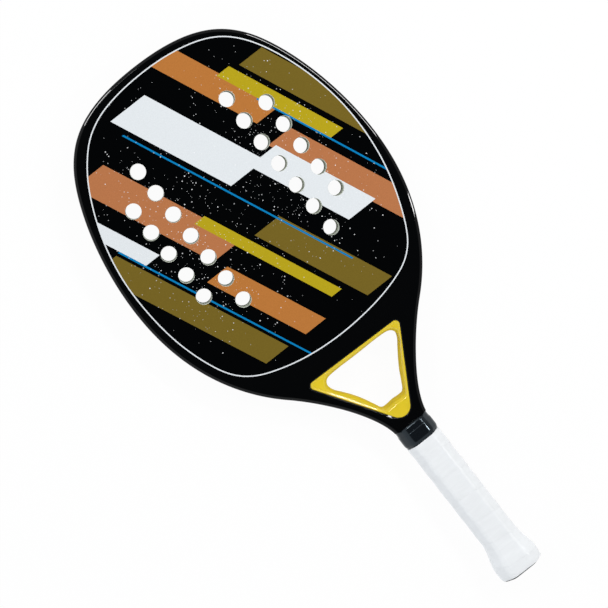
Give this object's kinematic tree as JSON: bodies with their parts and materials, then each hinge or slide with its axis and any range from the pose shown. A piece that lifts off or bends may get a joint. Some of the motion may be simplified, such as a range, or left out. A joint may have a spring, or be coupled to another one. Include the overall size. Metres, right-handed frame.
{
  "type": "beach tennis racket",
  "caption": "Perforated beach tennis racket with a hollow composite frame, open triangular throat, foam core between laminate faces, and a taped handle.",
  "frame": {"origin": "centre of the butt's flat end face, on the racket's middle plane", "axes": "+X across the face, +Y along the handle from the butt to the crown of the head, +Z out of the front face"},
  "size_m": [0.2326, 0.5, 0.0348],
  "materials": {
    "gloss_black": "clear-coated black composite, high gloss",
    "printed_laminate": "printed laminate under a gloss clear coat with fine white flecks",
    "core_foam": "cut closed-cell foam, matt",
    "yellow_resin": "moulded, semi-gloss",
    "pallet_foam": "moulded rigid foam",
    "cushion_tape": "soft cushion tape, matt",
    "white_tape": "thin tacky polyurethane tape, satin",
    "collar_rubber": "smooth moulded rubber, semi-gloss",
    "cap_plastic": "moulded, fine grain"
  },
  "bodies": {
    "root": {"frame_tube": "gloss_black", "throat_bridge": "gloss_black", "foam_core": "core_foam", "front_face": "printed_laminate", "back_face": "printed_laminate", "throat_liner": "yellow_resin", "handle_pallet_front": "pallet_foam", "handle_pallet_back": "pallet_foam", "base_grip": "cushion_tape", "overgrip": "white_tape", "grip_collar": "collar_rubber", "butt_cap": "cap_plastic", "butt_plug": "cap_plastic"}
  },
  "joints": []
}
